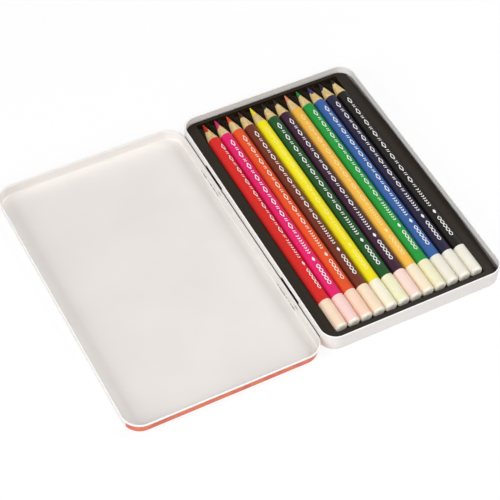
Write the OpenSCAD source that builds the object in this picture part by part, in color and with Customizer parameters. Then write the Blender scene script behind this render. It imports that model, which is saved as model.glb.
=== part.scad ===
// A flat hinged tin for round colored pencils, lying open, in millimetres.
// The origin is the centre of the base's underside. X runs across the pencils and the lid lies
// on its -X side, Y runs along the pencils towards their tips, and Z is up.

/* [Pencils] */
// How many pencils lie side by side
pencil_count = 12; // [4:1:14]
// Diameter over the lacquer
pencil_d = 8; // [6.5:0.1:10]
// Length from the dipped end to the point
pencil_l = 175; // [150:1:200]
// Free space between neighbouring pencils
pencil_gap = 0.3; // [0.2:0.05:1.5]
// Diameter of the colored core
lead_d = 3.5; // [2:0.1:4.5]
// Angle between the sharpened cone and the pencil's axis
sharpen_angle = 13.3; // [11:0.1:18]
// Radius of the blunt point of the core
point_r = 0.3; // [0.15:0.05:0.6]
// Thickness of the lacquer coat
lacquer_t = 0.13; // [0.08:0.01:0.3]
// Length of the dipped end
dip_l = 20.5; // [10:0.5:40]
// How far the dip stands proud of the lacquer
dip_proud = 0.03; // [0.01:0.01:0.08]
// Radius of the dipped end's rounded edge
dip_edge_r = 1.9; // [0.5:0.1:2.5]

/* [Tray] */
// Thickness of the formed plastic sheet
tray_t = 0.5; // [0.3:0.05:1]
// Height of the grooves' undersides above the base's floor
groove_lift = 1.5; // [0.3:0.1:5]
// Height of the land above the pencils' axes
land_rise = 0.5; // [0:0.1:2]
// Depth of the ridges' tops below the pencils' axes
ridge_drop = 1.2; // [0.8:0.1:2]
// Width of the land beside the pencils
side_land = 9.2; // [3:0.1:25]
// Width of the land behind the dipped ends
near_land = 6.25; // [3:0.05:25]
// Width of the land beyond the points
far_land = 2.25; // [2:0.05:25]
// Free length behind the dipped ends
end_space = 0.8; // [0.3:0.1:5]
// Free length beyond the points
point_space = 1; // [0.3:0.1:5]

/* [Tinplate] */
// Thickness of the enamelled sheet
sheet_t = 0.3; // [0.2:0.02:0.4]
// Outside radius of the base's upright corners
corner_r = 10; // [7:0.5:16]
// Outside radius of the base's bottom edge
base_edge_r = 1.5; // [1:0.1:2.5]
// Radius of the base's rim, which is rolled inwards
rim_r = 0.45; // [0.35:0.05:0.6]
// Height of the base's rim above the pencils
rim_rise = 1.8; // [1:0.1:6]
// Outside radius of the lid's top edge
lid_edge_r = 1.2; // [0.8:0.1:3]
// Radius of the lid's rim, which is rolled outwards and is the hinge's pin
bead_r = 0.7; // [0.5:0.05:0.9]
// Free height between the base's rim and the closed lid
head_space = 1.4; // [0.2:0.1:2]

/* [Hinge] */
// Distance between the middles of the two tongues
tongue_spacing = 96; // [50:1:120]
// How far the tongues' middle lies off the tin's middle, towards the dipped ends
tongue_shift = 1.5; // [0:0.5:8]
// Width of a tongue along the hinge
tongue_l = 20; // [8:0.5:30]
// Angle that a tongue curls round the bead
curl_angle = 190; // [180:1:265]
// Radius of the bend at a tongue's root, at the middle of the sheet
root_r = 0.55; // [0.4:0.05:0.8]
// Height of the window left where a tongue is bent out
window_h = 3.8; // [3.4:0.1:5.4]
// How far a slot's mouth reaches below the bead's middle
slot_drop = 1.6; // [1.5:0.1:2.2]
// Extra length of a slot towards the dipped ends
slot_notch = 2.2; // [0.6:0.1:5]

/* [Clearances] */
// Between the closed lid's skirt and the base's wall
lid_clear = 0.4; // [0.15:0.05:0.6]
// Between a tongue and the bead that it holds
curl_clear = 0.1; // [0.06:0.01:0.15]
// Between a tongue's sides and the edges of its slot and window
tongue_clear = 0.6; // [0.3:0.1:1.5]
// Between the tray's lip and the base's rolled rim
tray_clear = 0.15; // [0.1:0.05:0.5]
// Between the tray's foot and the start of the base's rounded edge
foot_clear = 0.1; // [0.05:0.05:0.5]
// Between a pencil and its groove
groove_clear = 0.1; // [0.05:0.05:0.5]
// Between a coat, a core and the wood, and under the tray's foot
seat_clear = 0.02; // [0.01:0.01:0.05]

/* [Hidden] */
$fn = 64;
eps = 1;

// Pencils
pencil_r = pencil_d / 2;
casing_r = pencil_r - lacquer_t - seat_clear;
lead_r = lead_d / 2;
coat_t = lacquer_t + dip_proud;
casing_start = coat_t + seat_clear;
pitch = pencil_d + pencil_gap;
row_w = (pencil_count - 1) * pitch;
// The sharpened cone's apex lies this far beyond the blunt point
apex_over = point_r * (1 / sin(sharpen_angle) - 1);
function cone_at(r) = pencil_l + apex_over - r / tan(sharpen_angle);

// Tray
groove_r = pencil_r + groove_clear;
well_w = row_w + 2 * groove_r;
well_l = pencil_l + end_space + point_space;
tray_w = well_w + 2 * side_land;
tray_l = well_l + near_land + far_land;

// Base
lip_inset = 2 * rim_r + tray_clear;
base_w = tray_w + 2 * lip_inset;
base_l = tray_l + 2 * lip_inset;
foot_inset = max(base_edge_r + foot_clear, lip_inset);
axis_z = sheet_t + groove_lift + tray_t + groove_r;
land_z = axis_z + land_rise;
base_h = axis_z + pencil_r + rim_rise;
well_near_y = -base_l / 2 + lip_inset + near_land;
pencil_end_y = well_near_y + end_space;

// Lid, which is as deep as its flat lie at both ends of its swing needs
closed_h = base_h + head_space + sheet_t;
hinge_z = closed_h / 2;
hinge_x = -(base_w / 2 + lid_clear + bead_r);
lid_w = base_w + 2 * (lid_clear + sheet_t);
lid_l = base_l + 2 * (lid_clear + sheet_t);
lid_corner_r = corner_r + lid_clear + sheet_t;
lid_x = 2 * hinge_x;

// Hinge
curl_in_r = bead_r + curl_clear;
root_x = -(base_w - sheet_t) / 2 - root_r;
root_z = hinge_z - (curl_in_r + sheet_t / 2) - root_r;

// Colours, from the first pencil at the hinge side
white_enamel = [0.93, 0.92, 0.91];
tray_black = [0.17, 0.15, 0.13];
cedar = [0.88, 0.76, 0.55];
lacquers = [
    [0.87, 0.18, 0.18],
    [0.90, 0.15, 0.46],
    [0.93, 0.33, 0.16],
    [0.43, 0.19, 0.14],
    [0.99, 0.88, 0.09],
    [0.13, 0.33, 0.16],
    [0.20, 0.13, 0.24],
    [0.99, 0.70, 0.24],
    [0.15, 0.61, 0.24],
    [0.23, 0.38, 0.67],
    [0.16, 0.15, 0.31],
    [0.11, 0.10, 0.10]
];
dips = [
    [0.99, 0.86, 0.75],
    [0.99, 0.82, 0.82],
    [0.99, 0.83, 0.72],
    [0.98, 0.88, 0.78],
    [0.99, 0.96, 0.83],
    [0.95, 0.96, 0.80],
    [0.98, 0.84, 0.81],
    [0.99, 0.90, 0.81],
    [0.95, 0.95, 0.78],
    [0.95, 0.93, 0.88],
    [0.95, 0.93, 0.88],
    [0.95, 0.93, 0.88]
];

function two_digits(i) = i < 9 ? str("0", i + 1) : str(i + 1);
function pencil_node(i, piece) = str("pencil_", two_digits(i), "_", piece);
function pick(list, i) = list[i % len(list)];

// A rectangle with round corners, centred on the origin
module rounded_rect(w, l, r) {
    square([w - 2 * r, l], center = true);
    square([w, l - 2 * r], center = true);
    for (x = [-1, 1], y = [-1, 1])
        translate([x * (w / 2 - r), y * (l / 2 - r)])
            circle(r);
}

// Sweeps a profile once round a pan of width w and length l. The profile's x is the distance
// from the corner's upright axis, so the pan's wall stands at x = r.
module sweep_round(w, l, r) {
    for (i = [0, 1]) {
        rotate(180 * i) {
            translate([w / 2 - r, l / 2 - r]) rotate_extrude(angle = 90) children();
            translate([-(w / 2 - r), l / 2 - r]) rotate(90) rotate_extrude(angle = 90) children();
            translate([w / 2 - r, l / 2 - r]) rotate([90, 0, 0]) linear_extrude(l - 2 * r) children();
            translate([-(w / 2 - r), l / 2 - r]) rotate([90, 0, 90]) linear_extrude(w - 2 * r) children();
        }
    }
}

// Floor, rounded edge and wall of a pan, with the wall's outside face at x = r
module pan_profile(r, edge_r, top) {
    square([r - edge_r, sheet_t]);
    translate([r - edge_r, edge_r])
        difference() {
            intersection() {
                circle(edge_r);
                translate([0, -edge_r]) square(edge_r);
            }
            circle(edge_r - sheet_t);
        }
    translate([r - sheet_t, edge_r]) square([sheet_t, top - edge_r]);
}

// A pan with its whole floor and walls up to the height top
module pan(w, l, r, edge_r, top) {
    sweep_round(w, l, r) pan_profile(r, edge_r, top);
    translate([-(w / 2 - r), -(l / 2 - r), 0]) cube([w - 2 * r, l - 2 * r, sheet_t]);
}

// A length of tube wall along Y, one sheet thick, that turns by the angle sweep about its axis
// from the angle start. Angles count from +X towards +Z.
module tube_sector(inside_r, start, sweep) {
    rotate([90, 0, 0])
        translate([0, 0, -tongue_l / 2])
            rotate(start)
                rotate_extrude(angle = sweep)
                    translate([inside_r, 0]) square([sheet_t, tongue_l]);
}

module at_tongues() {
    for (s = [-1, 1]) translate([0, s * tongue_spacing / 2 - tongue_shift, 0]) children();
}

// Tongue of the base's own sheet, from its root at the wall round the lid's bead
module tongue() {
    translate([root_x, 0, root_z]) tube_sector(root_r - sheet_t / 2, 0, 90);
    translate([hinge_x, -tongue_l / 2, root_z + root_r - sheet_t / 2])
        cube([root_x - hinge_x, tongue_l, sheet_t]);
    translate([hinge_x, 0, hinge_z]) tube_sector(curl_in_r, 270, -curl_angle);
}

// Window that is left in the base's wall above a tongue's root
module tongue_window() {
    translate([-base_w / 2 - eps, -tongue_l / 2 - tongue_clear, root_z])
        cube([sheet_t + 2 * eps, tongue_l + 2 * tongue_clear, window_h]);
}

module base_shell() {
    color(white_enamel) {
        difference() {
            union() {
                pan(base_w, base_l, corner_r, base_edge_r, base_h - rim_r);
                sweep_round(base_w, base_l, corner_r)
                    translate([corner_r - rim_r, base_h - rim_r]) circle(rim_r);
            }
            at_tongues() tongue_window();
        }
        at_tongues() tongue();
    }
}

// Slot in the lid's skirt that lets a tongue reach round the bead
module tongue_slot() {
    translate([-sheet_t - eps, -tongue_l / 2 - tongue_clear - slot_notch, hinge_z - slot_drop])
        cube([sheet_t + 2 * eps, tongue_l + 2 * tongue_clear + slot_notch, slot_drop + eps]);
}

module lid_shell() {
    color(white_enamel) {
        translate([lid_x, 0, 0]) {
            difference() {
                pan(lid_w, lid_l, lid_corner_r, lid_edge_r, hinge_z);
                translate([lid_w / 2, 0, 0]) at_tongues() tongue_slot();
            }
            sweep_round(lid_w, lid_l, lid_corner_r)
                translate([lid_corner_r - sheet_t + bead_r, hinge_z]) circle(bead_r);
        }
    }
}

// Space of the grooves and the well over them, grown by the given thickness
module groove_space(grow) {
    well_h = land_z - axis_z + ridge_drop;
    translate([-well_w / 2 - grow, well_near_y - grow, land_z - well_h - grow])
        cube([well_w + 2 * grow, well_l + 2 * grow, well_h + grow + (grow > 0 ? 0 : eps)]);
    for (i = [0 : pencil_count - 1])
        translate([i * pitch - row_w / 2, well_near_y - grow, axis_z])
            rotate([-90, 0, 0]) cylinder(r = groove_r + grow, h = well_l + 2 * grow);
}

module tray() {
    skirt_w = base_w - 2 * foot_inset;
    skirt_l = base_l - 2 * foot_inset;
    skirt_r = corner_r - foot_inset;
    color(tray_black)
        difference() {
            union() {
                translate([0, 0, sheet_t + seat_clear])
                    linear_extrude(land_z - sheet_t - seat_clear) rounded_rect(skirt_w, skirt_l, skirt_r);
                translate([0, 0, land_z - tray_t])
                    linear_extrude(tray_t) rounded_rect(tray_w, tray_l, corner_r - lip_inset);
            }
            groove_space(0);
            difference() {
                linear_extrude(land_z - tray_t)
                    rounded_rect(skirt_w - 2 * tray_t, skirt_l - 2 * tray_t, skirt_r - tray_t);
                groove_space(tray_t);
            }
        }
}

// Places a pencil that stands on the origin with its point up into groove i
module in_groove(i) {
    translate([i * pitch - row_w / 2, pencil_end_y, axis_z]) rotate([-90, 0, 0]) children();
}

// Half the outline of a rod from start to top, with a rounded edge at its start
module rod_profile(r, edge_r, start, top) {
    square_h = top - start - edge_r;
    translate([0, start]) square([r - edge_r, edge_r]);
    translate([0, start + edge_r]) square([r, square_h]);
    translate([r - edge_r, start + edge_r])
        intersection() {
            circle(edge_r);
            translate([0, -edge_r]) square(edge_r);
        }
}

module pencil_casing(i) {
    bore_r = lead_r + seat_clear;
    color(cedar)
        in_groove(i)
            rotate_extrude()
                difference() {
                    union() {
                        rod_profile(casing_r, dip_edge_r - casing_start, casing_start, cone_at(casing_r));
                        polygon([
                            [0, cone_at(casing_r)],
                            [casing_r, cone_at(casing_r)],
                            [bore_r, cone_at(bore_r)],
                            [0, cone_at(bore_r)]
                        ]);
                    }
                    square([bore_r, pencil_l]);
                }
}

module pencil_lead(i) {
    point_z = pencil_l - point_r;
    color(pick(lacquers, i))
        in_groove(i)
            rotate_extrude() {
                polygon([
                    [0, casing_start],
                    [lead_r, casing_start],
                    [lead_r, cone_at(lead_r)],
                    [point_r * cos(sharpen_angle), point_z + point_r * sin(sharpen_angle)],
                    [0, point_z]
                ]);
                translate([0, point_z])
                    intersection() {
                        circle(point_r);
                        translate([0, -point_r]) square(2 * point_r);
                    }
            }
}

module pencil_lacquer(i) {
    bore_r = pencil_r - lacquer_t;
    start = dip_l + seat_clear;
    color(pick(lacquers, i))
        in_groove(i)
            rotate_extrude()
                polygon([
                    [bore_r, start],
                    [pencil_r, start],
                    [pencil_r, cone_at(pencil_r)],
                    [bore_r, cone_at(bore_r)]
                ]);
}

module pencil_end_dip(i) {
    color(pick(dips, i))
        in_groove(i)
            rotate_extrude()
                difference() {
                    rod_profile(pencil_r + dip_proud, dip_edge_r, 0, dip_l);
                    rod_profile(pencil_r - lacquer_t, dip_edge_r - coat_t, coat_t, dip_l + eps);
                }
}

base_shell();
lid_shell();
tray();
for (i = [0 : pencil_count - 1]) {
    pencil_casing(i);
    pencil_lead(i);
    pencil_lacquer(i);
    pencil_end_dip(i);
}
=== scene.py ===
import math
import random

import bmesh
import bpy
from mathutils import Matrix, Vector


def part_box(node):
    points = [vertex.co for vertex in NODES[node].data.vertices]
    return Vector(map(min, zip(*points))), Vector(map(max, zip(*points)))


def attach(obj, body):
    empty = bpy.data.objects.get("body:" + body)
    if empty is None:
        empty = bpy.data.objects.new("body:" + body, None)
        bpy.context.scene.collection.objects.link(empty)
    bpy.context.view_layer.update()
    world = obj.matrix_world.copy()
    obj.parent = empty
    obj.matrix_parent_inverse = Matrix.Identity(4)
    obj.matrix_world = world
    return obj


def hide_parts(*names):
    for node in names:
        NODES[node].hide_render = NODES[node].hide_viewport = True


# A hinged tin of round colored pencils, lying open. Lengths are written in millimetres and
# turned into metres where an object is made, because Blender's unit here is the metre.

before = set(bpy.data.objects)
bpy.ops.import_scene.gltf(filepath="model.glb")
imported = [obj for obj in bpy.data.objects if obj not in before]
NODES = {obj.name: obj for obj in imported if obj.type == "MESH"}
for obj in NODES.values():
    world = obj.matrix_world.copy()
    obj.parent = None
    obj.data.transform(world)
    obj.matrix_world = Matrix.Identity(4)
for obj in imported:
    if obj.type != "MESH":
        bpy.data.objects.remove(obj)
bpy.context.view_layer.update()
MM = 0.001

# Camera, at the photograph's viewing angle
IMAGE_SIDE = 500
FOCAL_PIXELS = 1728
SENSOR_MM = 36
VIEW_AZIMUTH = math.radians(-30.82)
VIEW_ELEVATION = math.radians(51.16)
VIEW_ROLL = math.radians(3.72)
VIEW_DISTANCE = 1023.7
VIEW_TARGET = Vector((-63.21, -7.28, 0))


def make_camera():
    data = bpy.data.cameras.new("camera")
    data.sensor_width = SENSOR_MM
    data.lens = FOCAL_PIXELS / IMAGE_SIDE * SENSOR_MM
    camera = bpy.data.objects.new("camera", data)
    bpy.context.scene.collection.objects.link(camera)
    back = Vector((
        math.sin(VIEW_AZIMUTH) * math.cos(VIEW_ELEVATION),
        -math.cos(VIEW_AZIMUTH) * math.cos(VIEW_ELEVATION),
        math.sin(VIEW_ELEVATION),
    ))
    level_right = Vector((math.cos(VIEW_AZIMUTH), math.sin(VIEW_AZIMUTH), 0))
    level_up = back.cross(level_right)
    right = level_right * math.cos(VIEW_ROLL) + level_up * math.sin(VIEW_ROLL)
    up = level_up * math.cos(VIEW_ROLL) - level_right * math.sin(VIEW_ROLL)
    turn = Matrix((right, up, back)).transposed().to_4x4()
    camera.matrix_world = Matrix.Translation((VIEW_TARGET + back * VIEW_DISTANCE) * MM) @ turn
    bpy.context.scene.camera = camera


make_camera()
bpy.context.scene.view_settings.view_transform = "Standard"

# Sizes that the frame gives
PENCILS = 12
base_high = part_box("base_shell")[1] / MM
lid_low, lid_high = (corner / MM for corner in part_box("lid_shell"))
tray_low, tray_high = (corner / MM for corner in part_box("tray"))
first_low, first_high = (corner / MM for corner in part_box("pencil_01_lacquer"))
last_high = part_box("pencil_12_lacquer")[1] / MM
tip_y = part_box("pencil_01_lead")[1].y / MM
PENCIL_R = (first_high.z - first_low.z) / 2
AXIS_Z = (first_high.z + first_low.z) / 2
FIRST_X = (first_high.x + first_low.x) / 2
PITCH = (last_high.x - first_high.x) / (PENCILS - 1)
LACQUER_FRONT = first_high.y

# Sizes that the frame's boxes don't give, as the part's source has them. The lid's width and
# length are those of its upright wall, inside the rolled rim.
SHEET = 0.3
BASE_CORNER_R = 10
LID_X = (lid_low.x + lid_high.x) / 2
LID_EDGE_R = 1.2
LID_CORNER_R = 10.7
LID_W = 121.4
LID_L = 188.8
BEAD_R = 0.7
TONGUE_YS = (-49.5, 46.5)
GROOVE_R = 4.1
TRAY_SHEET = 0.5
TRAY_CORNER_R = 8.95
WELL_NEAR_Y = -86.4
WELL_FAR_Y = 90.4

# Colors as the photograph shows them, from the hinge side
LACQUERS = {
    "red": (222, 44, 40),
    "magenta": (230, 38, 112),
    "orange_red": (232, 86, 44),
    "brown": (112, 50, 34),
    "yellow": (255, 236, 34),
    "dark_green": (30, 80, 38),
    "purple": (60, 30, 50),
    "apricot": (255, 192, 78),
    "green": (38, 152, 62),
    "blue": (60, 100, 164),
    "navy": (38, 34, 58),
    "black": (24, 22, 17),
}
CORES = {
    "red": (190, 46, 40),
    "magenta": (206, 50, 104),
    "orange_red": (222, 78, 48),
    "brown": (82, 44, 34),
    "yellow": (250, 226, 50),
    "dark_green": (32, 30, 28),
    "purple": (46, 34, 40),
    "apricot": (236, 150, 116),
    "green": (36, 140, 64),
    "blue": (56, 60, 108),
    "navy": (40, 34, 46),
    "black": (30, 28, 24),
}
DIPS = {
    "red": (254, 226, 198),
    "magenta": (255, 218, 212),
    "orange_red": (255, 219, 194),
    "brown": (252, 230, 203),
    "yellow": (253, 246, 222),
    "dark_green": (246, 244, 207),
    "purple": (254, 224, 213),
    "apricot": (252, 237, 208),
    "green": (246, 241, 204),
    "blue": (244, 239, 225),
    "navy": (244, 240, 226),
    "black": (244, 240, 226),
}
PRINTS = {
    "yellow": (254, 246, 140),
    "apricot": (254, 230, 168),
    "orange_red": (253, 234, 220),
}
PRINT_WHITE = (252, 249, 245)
COLORS = list(LACQUERS)
ENAMEL_WHITE = (237, 232, 228)
# white of the painted highlight on the rims and of the painted light on the base's inner walls
PAINTED_LIGHT_WHITE = (255, 254, 252)
TINPLATE = (184, 181, 178)
# painted shade for the narrow gaps at the hinge
HINGE_SHADE = (46, 42, 38)
ART_ORANGE = (230, 120, 80)
ART_CORAL = (218, 94, 76)
ART_RED = (202, 76, 68)
WOOD_LIGHT = (246, 222, 166)
WOOD_DARK = (218, 182, 120)
TRAY_DARK = (27, 18, 6)
TRAY_LIGHT = (36, 27, 13)
DIP_END = (255, 250, 236)


def linear(rgb):
    """A color written as 0 to 255 in sRGB, as a shader's linear RGBA."""
    shares = [channel / 255 for channel in rgb]
    return [s / 12.92 if s <= 0.04045 else ((s + 0.055) / 1.055) ** 2.4 for s in shares] + [1]


def shade(rgb, factor):
    return linear([min(255, channel * factor) for channel in rgb])


class Finish:
    """A Principled material built by short calls, with places in the part's millimetres."""

    def __init__(self, name, roughness, specular=0.5):
        self.material = bpy.data.materials.new(name)
        self.material.use_nodes = True
        self.tree = self.material.node_tree
        self.shader = self.tree.nodes["Principled BSDF"]
        self.put(self.shader.inputs["Roughness"], roughness)
        self.put(self.shader.inputs["Specular IOR Level"], specular)
        coordinates = self.node("ShaderNodeTexCoord")
        self.place = self.vector("SCALE", coordinates.outputs["Object"], scale=1 / MM)

    def node(self, kind, **settings):
        made = self.tree.nodes.new(kind)
        for name, value in settings.items():
            setattr(made, name, value)
        return made

    def put(self, socket, value):
        if isinstance(value, bpy.types.NodeSocket):
            self.tree.links.new(value, socket)
        else:
            socket.default_value = value

    def vector(self, operation, a, b=None, scale=None):
        made = self.node("ShaderNodeVectorMath", operation=operation)
        self.put(made.inputs[0], a)
        if b is not None:
            self.put(made.inputs[1], b)
        if scale is not None:
            self.put(made.inputs["Scale"], scale)
        return made.outputs["Value" if operation in ("LENGTH", "DOT_PRODUCT") else "Vector"]

    def math(self, operation, a, b=0.0):
        made = self.node("ShaderNodeMath", operation=operation)
        self.put(made.inputs[0], a)
        self.put(made.inputs[1], b)
        return made.outputs[0]

    def axes(self, vector=None):
        made = self.node("ShaderNodeSeparateXYZ")
        self.put(made.inputs[0], self.place if vector is None else vector)
        return made.outputs

    def turned(self, degrees):
        """Places turned about Z."""
        made = self.node("ShaderNodeVectorRotate", rotation_type="Z_AXIS")
        self.put(made.inputs["Vector"], self.place)
        self.put(made.inputs["Angle"], math.radians(degrees))
        return made.outputs[0]

    def ramp(self, value, low, high, to_low=0.0, to_high=1.0):
        """Runs from to_low to to_high as value goes from low to high, and stays there."""
        made = self.node("ShaderNodeMapRange")
        for socket, number in zip(made.inputs, (value, low, high, to_low, to_high)):
            self.put(socket, number)
        return made.outputs[0]

    def noise(self, size, stretch=(1, 1, 1), detail=2.0, seed=0.0, at=None):
        """Noise from 0 to 1 with features of about the given size, longer along stretched axes."""
        at = self.place if at is None else at
        squeezed = self.vector("MULTIPLY", at, [1 / share for share in stretch])
        made = self.node("ShaderNodeTexNoise", noise_dimensions="4D")
        self.put(made.inputs["Vector"], squeezed)
        self.put(made.inputs["W"], seed)
        self.put(made.inputs["Scale"], 1 / size)
        self.put(made.inputs["Detail"], detail)
        return made.outputs["Fac"]

    def mix(self, share, a, b):
        """Color a where share is 0 and color b where it is 1."""
        made = self.node("ShaderNodeMix", data_type="RGBA")
        self.put(made.inputs[0], share)
        self.put(made.inputs[6], a)
        self.put(made.inputs[7], b)
        return made.outputs[2]

    def color(self, value):
        self.put(self.shader.inputs["Base Color"], value)

    def roughness(self, value):
        self.put(self.shader.inputs["Roughness"], value)

    def bump(self, height, depth):
        """Raises the surface by up to depth millimetres where height is 1."""
        made = self.node("ShaderNodeBump")
        self.put(made.inputs["Distance"], depth * MM)
        self.put(made.inputs["Height"], height)
        self.put(self.shader.inputs["Normal"], made.outputs[0])


# Enamelled tinplate. The depths are counted down from a rim's top: RIM_DEPTHS place the painted
# highlight, CREST_DEPTHS the scuffs.
RIM_DEPTHS = (0.35, 0.15)
CREST_DEPTHS = (0.1, 0.03)
RIM_BLEND = 0.15
BAND_EDGE = 0.05
# Painted shade at the hinge, dark as in its narrow gaps: along the tongues from their middles, and
# its places on the two walls
SLOT_SHADE_RUN = (-10, 13)
SLOT_SHADE_X = (-61.9, -61.6)
SLOT_SHADE_Z = (1.8, 2.9)
WALL_SHADE_X = (-60.1, -59.95)
WALL_SHADE_Z = (4.5, 7.5)
# Print on the lid's outside: its top edge, its white long edges and the slant of its strokes
ART_TOP_Z = lid_high.z - 1.45 * BEAD_R
ART_EDGES = (0.7, 0.5)
ART_SLANT = 32


def enamel_look(finish, rim_z, outer_half=1.0):
    """Color of white tin enamel, faintly mottled, with a painted highlight on the rim where
    outer_half is 1.
    """
    mottling = finish.ramp(finish.noise(35, detail=2), 0.35, 0.65)
    color = finish.mix(mottling, shade(ENAMEL_WHITE, 0.99), shade(ENAMEL_WHITE, 1.005))
    height = finish.axes()["Z"]
    at_rim = finish.ramp(height, *(rim_z - depth for depth in RIM_DEPTHS))
    rim_highlight = finish.math("MULTIPLY", at_rim, outer_half)
    # painted highlight: the rim's top, or its outer half, is whiter than the enamel
    color = finish.mix(rim_highlight, color, linear(PAINTED_LIGHT_WHITE))
    crest = finish.ramp(height, *(rim_z - depth for depth in CREST_DEPTHS))
    scuff = finish.ramp(finish.noise(1.2, detail=4, seed=3), 0.7, 0.76)
    return finish.mix(finish.math("MULTIPLY", crest, scuff), color, linear(TINPLATE))


def band(finish, value, low, high):
    """1 where value lies between low and high, and 0 elsewhere."""
    rising = finish.ramp(value, low - BAND_EDGE, low)
    falling = finish.ramp(value, high, high + BAND_EDGE, 1, 0)
    return finish.math("MULTIPLY", rising, falling)


def slot_painted_shade(finish, color):
    """Painted shade in dashes along the foot of the lid's hinge wall, beside each tongue."""
    place = finish.axes()
    start, end = SLOT_SHADE_RUN
    beside = finish.math("MAXIMUM", *(
        band(finish, place["Y"], y + start, y + end) for y in TONGUE_YS))
    low = band(finish, place["Z"], *SLOT_SHADE_Z)
    foot = finish.math("MULTIPLY", low, band(finish, place["X"], *SLOT_SHADE_X))
    dashes = finish.ramp(finish.noise(1.3, detail=1, seed=6), 0.44, 0.5, 0.2, 1)
    # painted shade, in dashes, where the tongues leave the lid's wall
    shaded = finish.math("MULTIPLY", finish.math("MULTIPLY", beside, foot), dashes)
    return finish.mix(shaded, color, linear(HINGE_SHADE))


def hinge_painted_shade(finish, color):
    """Painted shade on the base's wall behind the lid's bead, in the gap between them."""
    place = finish.axes()
    behind_bead = band(finish, place["Z"], *WALL_SHADE_Z)
    # painted shade on the base's wall in the gap behind the lid's bead
    on_wall = finish.math("MULTIPLY", band(finish, place["X"], *WALL_SHADE_X), behind_bead)
    return finish.mix(on_wall, color, linear(HINGE_SHADE))


def past_wall(finish, centre_x, width, length, corner_r):
    """How far a place lies outside the upright wall of a pan, seen from above."""
    beyond = finish.vector(
        "SUBTRACT",
        finish.vector("ABSOLUTE", finish.vector("SUBTRACT", finish.place, (centre_x, 0, 0))),
        (width / 2 - corner_r, length / 2 - corner_r, 0),
    )
    past = finish.axes(beyond)
    corner = finish.node("ShaderNodeCombineXYZ")
    finish.put(corner.inputs["X"], finish.math("MAXIMUM", past["X"], 0))
    finish.put(corner.inputs["Y"], finish.math("MAXIMUM", past["Y"], 0))
    in_corner = finish.vector("LENGTH", corner.outputs[0])
    in_middle = finish.math("MINIMUM", finish.math("MAXIMUM", past["X"], past["Y"]), 0)
    return finish.math("SUBTRACT", finish.math("ADD", in_corner, in_middle), corner_r)


def outside_of_lid(finish, to_wall):
    """1 on the outer side of the lid's sheet, below its rolled rim, and 0 elsewhere."""
    height = finish.axes()["Z"]
    bend = finish.node("ShaderNodeCombineXYZ")
    past_bend = finish.math("ADD", to_wall, LID_EDGE_R)
    below_bend = finish.math("SUBTRACT", LID_EDGE_R, height)
    finish.put(bend.inputs["X"], finish.math("MAXIMUM", past_bend, 0))
    finish.put(bend.inputs["Y"], finish.math("MAXIMUM", below_bend, 0))
    depth = finish.math("SUBTRACT", LID_EDGE_R, finish.vector("LENGTH", bend.outputs[0]))
    outer = finish.math("LESS_THAN", depth, SHEET / 2)
    below_bead = finish.math("LESS_THAN", height, ART_TOP_Z)
    return finish.math("MULTIPLY", outer, below_bead)


def lid_artwork(finish, white):
    """A generic print of broad slanted crayon strokes, from orange to red, between white edges."""
    across = finish.math("ABSOLUTE", finish.math("SUBTRACT", finish.axes()["X"], LID_X))
    inked = finish.ramp(across, *(LID_W / 2 - inset for inset in ART_EDGES), 1, 0)
    slanted = finish.turned(ART_SLANT)
    strokes = finish.noise(5, stretch=(1, 14, 1), detail=2, seed=11, at=slanted)
    streaks = finish.noise(0.8, stretch=(1, 30, 1), detail=1, seed=4, at=slanted)
    fade = finish.ramp(finish.axes()["Y"], lid_low.y, lid_high.y, -0.12, 0.12)
    fine = finish.ramp(streaks, 0, 1, -0.08, 0.08)
    tone = finish.math("ADD", finish.math("ADD", strokes, fade), fine)
    warm = finish.mix(finish.ramp(tone, 0.32, 0.46), linear(ART_ORANGE), linear(ART_CORAL))
    deep = finish.mix(finish.ramp(tone, 0.5, 0.64), warm, linear(ART_RED))
    return finish.mix(inked, white, deep)


def base_enamel():
    finish = Finish("base_enamel", 0.3)
    to_wall = past_wall(finish, 0, 2 * base_high.x, 2 * base_high.y, BASE_CORNER_R)
    # painted light: the inner walls above the tray are whiter than the enamel, standing in for
    # light on them
    inner_side = finish.math("LESS_THAN", to_wall, -SHEET / 2)
    over_tray = finish.math("GREATER_THAN", finish.axes()["Z"], tray_high.z - TRAY_SHEET)
    painted_light_inside = finish.math("MULTIPLY", inner_side, over_tray)
    white = finish.mix(painted_light_inside, enamel_look(finish, base_high.z), linear(PAINTED_LIGHT_WHITE))
    finish.color(hinge_painted_shade(finish, white))
    return finish.material


def lid_enamel():
    finish = Finish("lid_enamel", 0.3)
    to_wall = past_wall(finish, LID_X, LID_W, LID_L, LID_CORNER_R)
    bead_middle = lid_high.x - LID_X - LID_W / 2 - BEAD_R
    # the lid's painted highlight covers only the outer half of its bead
    outer_half = finish.ramp(to_wall, bead_middle - RIM_BLEND, bead_middle + RIM_BLEND)
    white = slot_painted_shade(finish, enamel_look(finish, lid_high.z, outer_half))
    finish.color(finish.mix(outside_of_lid(finish, to_wall), white, lid_artwork(finish, white)))
    return finish.material


# Tray and pencils. The core comes out of the wood at a ragged edge, in teeth of this height.
CORE_EDGE_Y = tip_y - 6.6
CORE_TEETH = 1.4
DIP_END_Y = -84.5
DIP_END_BLEND = 0.3


def tray_plastic():
    finish = Finish("tray_plastic", 0.5, specular=0.22)
    speck = finish.ramp(finish.noise(0.5, detail=3, seed=5), 0.4, 0.7)
    finish.color(finish.mix(speck, linear(TRAY_DARK), linear(TRAY_LIGHT)))
    finish.roughness(finish.ramp(finish.noise(5, seed=2), 0.3, 0.7, 0.4, 0.55))
    finish.bump(finish.noise(0.6, detail=2, seed=8), 0.01)
    return finish.material


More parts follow.
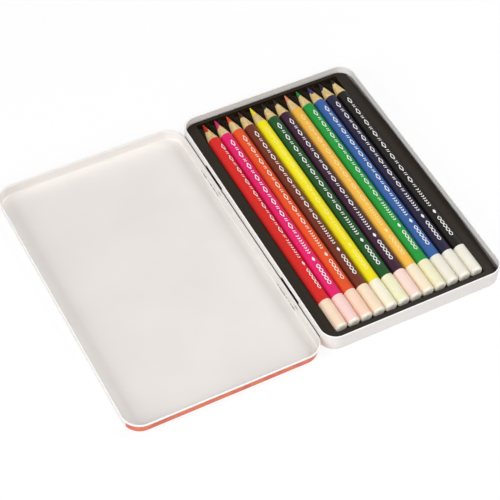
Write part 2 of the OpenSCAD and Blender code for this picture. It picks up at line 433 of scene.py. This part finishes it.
def lacquer(index, color):
    finish = Finish("lacquer_" + color, 0.36, specular=0.2)
    tone = finish.ramp(finish.noise(18, stretch=(1, 3, 1), seed=index), 0.35, 0.65)
    finish.color(finish.mix(tone, shade(LACQUERS[color], 0.97), shade(LACQUERS[color], 1.02)))
    finish.bump(finish.noise(2.5, stretch=(1, 4, 1), detail=1, seed=index), 0.006)
    return finish.material


def end_dip(index, color):
    finish = Finish("dip_" + color, 0.3, specular=0.6)
    tone = finish.ramp(finish.noise(7, seed=index), 0.35, 0.65)
    tinted = finish.mix(tone, shade(DIPS[color], 0.985), shade(DIPS[color], 1.0))
    waver = finish.noise(1.5, seed=index + 9)
    waver = finish.ramp(waver, 0.3, 0.7, -DIP_END_BLEND, DIP_END_BLEND)
    edge = finish.math("ADD", finish.axes()["Y"], waver)
    on_side = finish.ramp(edge, DIP_END_Y - DIP_END_BLEND, DIP_END_Y + DIP_END_BLEND)
    finish.color(finish.mix(on_side, linear(DIP_END), tinted))
    finish.bump(finish.noise(2.5, detail=1, seed=index), 0.008)
    return finish.material


def past_core_edge(finish, index, lean):
    """How far a place on the cone lies beyond the ragged edge between the wood and the core."""
    axis = (FIRST_X + index * PITCH, 0, AXIS_Z)
    around = finish.vector("MULTIPLY", finish.vector("SUBTRACT", finish.place, axis), (1, 0, 1))
    around = finish.vector("NORMALIZE", around)
    slant = finish.vector("DOT_PRODUCT", around, lean)
    teeth = finish.noise(0.6, detail=1, seed=index * 7, at=around)
    teeth = finish.ramp(teeth, 0.35, 0.65, -CORE_TEETH, CORE_TEETH)
    edge = finish.math("ADD", finish.math("ADD", slant, teeth), CORE_EDGE_Y)
    return finish.math("SUBTRACT", finish.axes()["Y"], edge)


def cone_materials(index, color):
    """The wood and the core, which share one ragged edge on the cone."""
    length, towards = random.uniform(0.2, 0.8), math.radians(random.uniform(30, 110))
    lean = (length * math.sin(towards), 0, length * math.cos(towards))
    made = []
    for name, roughness in (("wood_", 0.7), ("core_", 0.5)):
        finish = Finish(name + color, roughness, specular=0.2)
        grain = finish.noise(0.35, stretch=(1, 16, 1), detail=3, seed=index)
        rings = finish.noise(1.3, stretch=(1, 9, 1), seed=index + 20)
        tone = finish.ramp(finish.math("ADD", grain, rings), 0.75, 1.25)
        timber = finish.mix(tone, linear(WOOD_LIGHT), linear(WOOD_DARK))
        crumbs = finish.ramp(finish.noise(0.7, detail=3, seed=index), 0.35, 0.65)
        wax = finish.mix(crumbs, shade(CORES[color], 0.94), shade(CORES[color], 1.05))
        cored = finish.ramp(past_core_edge(finish, index, lean), -0.08, 0.08)
        finish.color(finish.mix(cored, timber, wax))
        finish.bump(grain, 0.02)
        made.append(finish.material)
    return made


def print_ink(color):
    finish = Finish("print_" + color, 0.45, specular=0.3)
    ink = PRINTS.get(color, PRINT_WHITE)
    cover = finish.ramp(finish.noise(0.7, detail=3), 0.3, 0.7)
    finish.color(finish.mix(cover, shade(ink, 0.975), linear(ink)))
    return finish.material


def dress(node, material):
    for material_slot in NODES[node].material_slots:
        material_slot.material = material


random.seed(5)
dress("base_shell", base_enamel())
dress("lid_shell", lid_enamel())
tray_material = tray_plastic()
dress("tray", tray_material)
for index, color in enumerate(COLORS):
    pencil = f"pencil_{index + 1:02d}_"
    wood, core = cone_materials(index, color)
    dress(pencil + "casing", wood)
    dress(pencil + "lead", core)
    dress(pencil + "lacquer", lacquer(index, color))
    dress(pencil + "end_dip", end_dip(index, color))


def add_object(name, bm, material):
    bmesh.ops.recalc_face_normals(bm, faces=bm.faces)
    mesh = bpy.data.meshes.new(name)
    bm.to_mesh(mesh)
    bm.free()
    mesh.materials.append(material)
    made = bpy.data.objects.new(name, mesh)
    bpy.context.scene.collection.objects.link(made)
    return made


# Formed sheet of the tray. The places are those of the grid's lines across half a groove and
# across a steep wall, closer together where the sheet bends.
LAND_Z = tray_high.z
RIDGE_Z = AXIS_Z - 1.2
WALL_SLOPE = 6
DRAFT_SPACE = 0.15
RIDGE_ROUNDING = 0.5
FOOT_ROUNDING = 0.6
LAND_ROUNDING = 1.0
SIDE_WALL_X = -FIRST_X + GROOVE_R + DRAFT_SPACE
RIDGE_PLACES = (-4.15, -4.02, -3.9, -3.75, -3.5, -3.1, -2.5, -1.7, -0.9)
WALL_STEPS = (-0.3, -0.15, -0.08, 0, 0.08, 0.2, 0.35, 0.5, 0.62, 0.74, 0.86, 1.0, 1.3)
LEAST_STEP = 0.05
MIDDLE_YS = [-40, 0, 40]


def smooth_max(a, b, span):
    overlap = max(span - abs(a - b), 0) / span
    return max(a, b) + overlap * overlap * span / 4


def smooth_min(a, b, span):
    return -smooth_max(-a, -b, span)


def sheet_height(x, y, grown):
    """Height of the tray's upper side at a place, or of its underside when grown by the sheet."""
    nearest = min(PENCILS - 1, max(0, round((x - FIRST_X) / PITCH)))
    aside = abs(x - FIRST_X - nearest * PITCH)
    radius = GROOVE_R + grown
    groove = AXIS_Z - math.sqrt(max(radius ** 2 - aside ** 2, 0))
    if abs(x) < -FIRST_X:
        groove = smooth_min(groove, RIDGE_Z - grown, RIDGE_ROUNDING)
    in_well = min(-FIRST_X + GROOVE_R - abs(x), y - WELL_NEAR_Y, WELL_FAR_Y - y)
    land = LAND_Z - grown
    wall = land - WALL_SLOPE * (DRAFT_SPACE + grown + in_well)
    return smooth_min(land, smooth_max(groove, wall, FOOT_ROUNDING), LAND_ROUNDING)


def sheet_lines(grown):
    """The grid's places along X and along Y."""
    across = list(RIDGE_PLACES) + [0] + [-place for place in reversed(RIDGE_PLACES[1:])]
    xs = [FIRST_X + k * PITCH + place for k in range(PENCILS) for place in across]
    xs = [x for x in xs if abs(x) < SIDE_WALL_X - WALL_STEPS[-1] - LEAST_STEP]
    sides = [SIDE_WALL_X + grown - step for step in WALL_STEPS]
    xs = [-x for x in sides] + xs + list(reversed(sides))
    near = [WELL_NEAR_Y - DRAFT_SPACE - grown + step for step in WALL_STEPS]
    far = [WELL_FAR_Y + DRAFT_SPACE + grown - step for step in reversed(WALL_STEPS)]
    return xs, near + MIDDLE_YS + far


def rim_place(side, share, inset):
    """A place on the tray's outline, or inset from it, whose sides meet in the round corners."""
    radius = TRAY_CORNER_R - inset
    half_along, half_out = tray_high.x - inset, tray_high.y - inset
    if side % 2:
        half_along, half_out = half_out, half_along
    arc = math.pi / 4 * radius
    straight = 2 * (half_along - radius)
    run = share * (straight + 2 * arc)
    angle = (min(run - arc, 0) + max(run - arc - straight, 0)) / radius
    along = min(max(run - arc, 0), straight) - straight / 2 + radius * math.sin(angle)
    out = half_out - radius + radius * math.cos(angle)
    turn = math.pi / 2 * side
    return (
        along * math.cos(turn) + out * math.sin(turn),
        along * math.sin(turn) - out * math.cos(turn),
    )


def grid_border(xs, ys):
    """Indices of the grid's border, going round it, with the side and the share of that side."""
    last_x, last_y = len(xs) - 1, len(ys) - 1
    share_x = [(x - xs[0]) / (xs[-1] - xs[0]) for x in xs]
    share_y = [(y - ys[0]) / (ys[-1] - ys[0]) for y in ys]
    border = [((i, 0), 0, share_x[i]) for i in range(last_x)]
    border += [((last_x, j), 1, share_y[j]) for j in range(last_y)]
    border += [((i, last_y), 2, 1 - share_x[i]) for i in range(last_x, 0, -1)]
    border += [((0, j), 3, 1 - share_y[j]) for j in range(last_y, 0, -1)]
    return border


def make_tray():
    """The tray as a formed sheet with rounded bends, a flat lip and a skirt down to the base."""
    bm = bmesh.new()
    grids = []
    for grown in (0, TRAY_SHEET):
        xs, ys = sheet_lines(grown)
        rows = [
            [bm.verts.new(Vector((x, y, sheet_height(x, y, grown))) * MM) for y in ys]
            for x in xs
        ]
        for a, b in zip(rows, rows[1:]):
            for j in range(len(ys) - 1):
                bm.faces.new((a[j], b[j], b[j + 1], a[j + 1]))
        grids.append((rows, grid_border(xs, ys)))
    (top, border), (under, _) = grids
    lip_low, foot = LAND_Z - TRAY_SHEET, tray_low.z
    # Inset and height of the lip and the skirt, from the land round to the underside
    profile = [
        (0.25, LAND_Z), (0.12, LAND_Z - 0.04), (0.03, LAND_Z - 0.13), (0, LAND_Z - 0.25),
        (0.03, lip_low + 0.07), (0.12, lip_low), (0.5, lip_low), (0.55, lip_low - 0.05),
        (0.55, foot + 0.08), (0.63, foot), (0.97, foot), (1.05, foot + 0.08),
        (1.05, lip_low),
    ]
    loops = [[top[i][j] for (i, j), _, _ in border]]
    for inset, z in profile:
        places = [rim_place(side, share, inset) for _, side, share in border]
        loops.append([bm.verts.new(Vector((x, y, z)) * MM) for x, y in places])
    loops.append([under[i][j] for (i, j), _, _ in border])
    for a, b in zip(loops, loops[1:]):
        for k in range(len(a)):
            n = (k + 1) % len(a)
            bm.faces.new((a[k], a[n], b[n], b[k]))
    for face in bm.faces:
        face.smooth = True
    sheet = add_object("tray_sheet", bm, tray_material)
    sheet.data.set_sharp_from_angle(angle=math.radians(50))
    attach(sheet, "tray")
    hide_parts("tray")


make_tray()


# Prints on the barrels, thin closed ribbons that start just inside the lacquer
PRINT_OUT = 0.03
PRINT_IN = -0.05
STEP = 0.4
LEAST_WIDTH = 0.06


class Wrap:
    """Collects thin closed ribbons laid on a barrel. A place on it is (u, v): u runs back from
    the lacquer's front edge and v round the barrel, to the right of the print's middle line."""

    def __init__(self, axis_x, roll):
        self.axis_x = axis_x
        self.roll = roll
        self.bm = bmesh.new()

    def vertex(self, u, v, proud):
        angle = v / PENCIL_R + self.roll
        r = PENCIL_R + proud
        return self.bm.verts.new(Vector((
            self.axis_x + r * math.sin(angle),
            LACQUER_FRONT - u,
            AXIS_Z + r * math.cos(angle),
        )) * MM)

    def ribbon(self, path, widths, columns=1):
        """A strip along path, as wide at each point as widths says."""
        rows = []
        for k, (u, v) in enumerate(path):
            before, after = path[max(k - 1, 0)], path[min(k + 1, len(path) - 1)]
            du, dv = after[0] - before[0], after[1] - before[1]
            length = math.hypot(du, dv)
            nu, nv = -dv / length, du / length
            shares = [c / columns - 0.5 for c in range(columns + 1)]
            across = [(u + nu * s * widths[k], v + nv * s * widths[k]) for s in shares]
            top = [self.vertex(*place, PRINT_OUT) for place in across]
            bottom = [self.vertex(*place, PRINT_IN) for place in reversed(across)]
            rows.append(top + bottom)
        for a, b in zip(rows, rows[1:]):
            for k in range(len(a)):
                n = (k + 1) % len(a)
                self.bm.faces.new((a[k], a[n], b[n], b[k]))
        self.bm.faces.new(list(reversed(rows[0])))
        self.bm.faces.new(rows[-1])

    def stroke(self, corners, width):
        """A ribbon of one width along straight runs between corners."""
        path = []
        for a, b in zip(corners, corners[1:]):
            count = max(1, math.ceil(math.dist(a, b) / STEP))
            du, dv = (b[0] - a[0]) / count, (b[1] - a[1]) / count
            path += [(a[0] + du * k, a[1] + dv * k) for k in range(count)]
        path.append(corners[-1])
        self.ribbon(path, [width] * len(path))

    def leaf(self, u, length, width, columns=4, rows=10):
        """A filled leaf that starts at u."""
        path = [(u + length * k / rows, 0) for k in range(rows + 1)]
        widths = [max(LEAST_WIDTH, width * math.sin(math.pi * k / rows)) for k in range(rows + 1)]
        self.ribbon(path, widths, columns)

    def open_lozenge(self, u, length, half, width):
        for side in (-1, 1):
            self.stroke([(u, 0), (u + length / 2, side * half), (u + length, 0)], width)


LINE = 0.5
BOLD_LINE = 0.55
# The repeated unit: an open lozenge and two slanted bars
UNIT_START = 6.5
UNIT = 10.5
UNITS = 8
LOZENGE_LENGTH = 5.4
LOZENGE_HALF = 1.0
BARS = (7.2, 8.7)
BAR_SLANT = 0.3
BAR_HALF = 0.8
# After the units: chevrons, a leaf and a braid of two waves
CHEVRON_START = UNIT_START + UNITS * UNIT + 0.5
CHEVRON = 2.0
CHEVRONS = 8
CHEVRON_LENGTH = 0.9
CHEVRON_HALF = 0.95
LEAF_START = CHEVRON_START + 18
LEAF_LENGTH = 3.4
LEAF_WIDTH = 1.7
BRAID_START = CHEVRON_START + 24
BRAID_POINTS = 41
BRAID_LOOP = 3.2
BRAID_HALF = 0.95
# Degrees that a print is turned round its barrel, away from the hinge
FIRST_ROLL = 25
LEAST_ROLL = -6
MOST_ROLL = 8


def print_on(index, color, roll):
    wrap = Wrap(FIRST_X + index * PITCH, roll)
    for k in range(UNITS):
        start = UNIT_START + k * UNIT
        wrap.open_lozenge(start, LOZENGE_LENGTH, LOZENGE_HALF, LINE)
        for u in BARS:
            ends = (start + u - BAR_SLANT, -BAR_HALF), (start + u + BAR_SLANT, BAR_HALF)
            wrap.stroke(ends, BOLD_LINE)
    for k in range(CHEVRONS):
        u = CHEVRON_START + k * CHEVRON
        corners = (u, -CHEVRON_HALF), (u + CHEVRON_LENGTH, 0), (u, CHEVRON_HALF)
        wrap.stroke(corners, BOLD_LINE)
    wrap.leaf(LEAF_START, LEAF_LENGTH, LEAF_WIDTH)
    runs = [k * STEP for k in range(BRAID_POINTS)]
    for side in (-1, 1):
        wave = [side * BRAID_HALF * math.sin(math.pi * run / BRAID_LOOP) for run in runs]
        points = [(BRAID_START + run, v) for run, v in zip(runs, wave)]
        wrap.ribbon(points, [LINE] * len(points))
    piece = add_object(f"pencil_{index + 1:02d}_print", wrap.bm, print_ink(color))
    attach(piece, f"pencil_{index + 1:02d}")


random.seed(12)
for index, color in enumerate(COLORS):
    roll = FIRST_ROLL if index == 0 else random.uniform(LEAST_ROLL, MOST_ROLL)
    print_on(index, color, math.radians(roll))

# Floor, world and lamps. Each lamp's share is what it adds to the light on a level white face,
# and DOME is the world's. The floor, where it is seen, gives FLOOR_SHARE of its white from the
# light on it, so that it shows the shadow, and glows for the rest.
FLOOR_SIDE = 6.0
FLOOR_Z = -0.00005
FLOOR_GREY = (230, 230, 230)
FLOOR_SHARE = 0.2
FLOOR_GLOW = 1.02 - FLOOR_SHARE
DOME = 0.14
LAMP_DISTANCE = 1.8
LAMPS = {
    "front": {"share": 0.21, "azimuth": -118, "elevation": 56, "size": 0.5},
    "near": {"share": 0.1, "azimuth": -92, "elevation": 42, "size": 0.8},
    "low": {"share": 0.045, "azimuth": -96, "elevation": 18, "size": 0.8},
    "left": {"share": 0.22, "azimuth": 186, "elevation": 27, "size": 1.0},
    "right": {"share": 0.25, "azimuth": 4, "elevation": 46, "size": 0.8},
    "key": {"share": 0.02, "azimuth": 12, "elevation": 54, "size": 0.25},
}


def seen_directly(tree):
    """1 for rays that show the background itself, in view, in a reflection or through glass."""
    path = tree.nodes.new("ShaderNodeLightPath")
    shown = path.outputs["Is Camera Ray"]
    for name in ("Is Glossy Ray", "Is Transmission Ray"):
        either = tree.nodes.new("ShaderNodeMath")
        either.operation = "MAXIMUM"
        tree.links.new(shown, either.inputs[0])
        tree.links.new(path.outputs[name], either.inputs[1])
        shown = either.outputs[0]
    return shown


def make_floor():
    mesh = bpy.data.meshes.new("floor")
    half = FLOOR_SIDE / 2
    corners = [(x * half, y * half, FLOOR_Z) for x, y in ((-1, -1), (1, -1), (1, 1), (-1, 1))]
    mesh.from_pydata(corners, [], [(0, 1, 2, 3)])
    floor = bpy.data.objects.new("floor", mesh)
    bpy.context.scene.collection.objects.link(floor)
    material = bpy.data.materials.new("floor")
    material.use_nodes = True
    tree = material.node_tree
    tree.nodes.clear()
    output = tree.nodes.new("ShaderNodeOutputMaterial")
    plain = tree.nodes.new("ShaderNodeBsdfDiffuse")
    plain.inputs["Color"].default_value = linear(FLOOR_GREY)
    shadowed = tree.nodes.new("ShaderNodeBsdfDiffuse")
    shadowed.inputs["Color"].default_value = (FLOOR_SHARE, FLOOR_SHARE, FLOOR_SHARE, 1)
    glow = tree.nodes.new("ShaderNodeEmission")
    glow.inputs["Strength"].default_value = FLOOR_GLOW
    white = tree.nodes.new("ShaderNodeAddShader")
    choose = tree.nodes.new("ShaderNodeMixShader")
    tree.links.new(shadowed.outputs[0], white.inputs[0])
    tree.links.new(glow.outputs[0], white.inputs[1])
    tree.links.new(seen_directly(tree), choose.inputs[0])
    tree.links.new(plain.outputs[0], choose.inputs[1])
    tree.links.new(white.outputs[0], choose.inputs[2])
    tree.links.new(choose.outputs[0], output.inputs["Surface"])
    mesh.materials.append(material)


def make_world():
    world = bpy.data.worlds.new("world")
    bpy.context.scene.world = world
    world.use_nodes = True
    tree = world.node_tree
    background = tree.nodes["Background"]
    background.inputs["Color"].default_value = (1, 1, 1, 1)
    strength = tree.nodes.new("ShaderNodeMapRange")
    tree.links.new(seen_directly(tree), strength.inputs["Value"])
    strength.inputs["To Min"].default_value = DOME
    strength.inputs["To Max"].default_value = 1
    tree.links.new(strength.outputs[0], background.inputs["Strength"])


def make_lamp(name, share, azimuth, elevation, size):
    """A square lamp, with its azimuth counted from +X towards +Y."""
    azimuth, elevation = math.radians(azimuth), math.radians(elevation)
    data = bpy.data.lights.new(name, "AREA")
    data.size = size
    data.energy = share * (math.pi * LAMP_DISTANCE) ** 2 / math.sin(elevation)
    lamp = bpy.data.objects.new(name, data)
    bpy.context.scene.collection.objects.link(lamp)
    towards = Vector((
        math.cos(azimuth) * math.cos(elevation),
        math.sin(azimuth) * math.cos(elevation),
        math.sin(elevation),
    ))
    lamp.location = VIEW_TARGET * MM + towards * LAMP_DISTANCE
    lamp.rotation_euler = towards.to_track_quat("Z", "Y").to_euler()


make_floor()
make_world()
for name, lamp in LAMPS.items():
    make_lamp(name, **lamp)
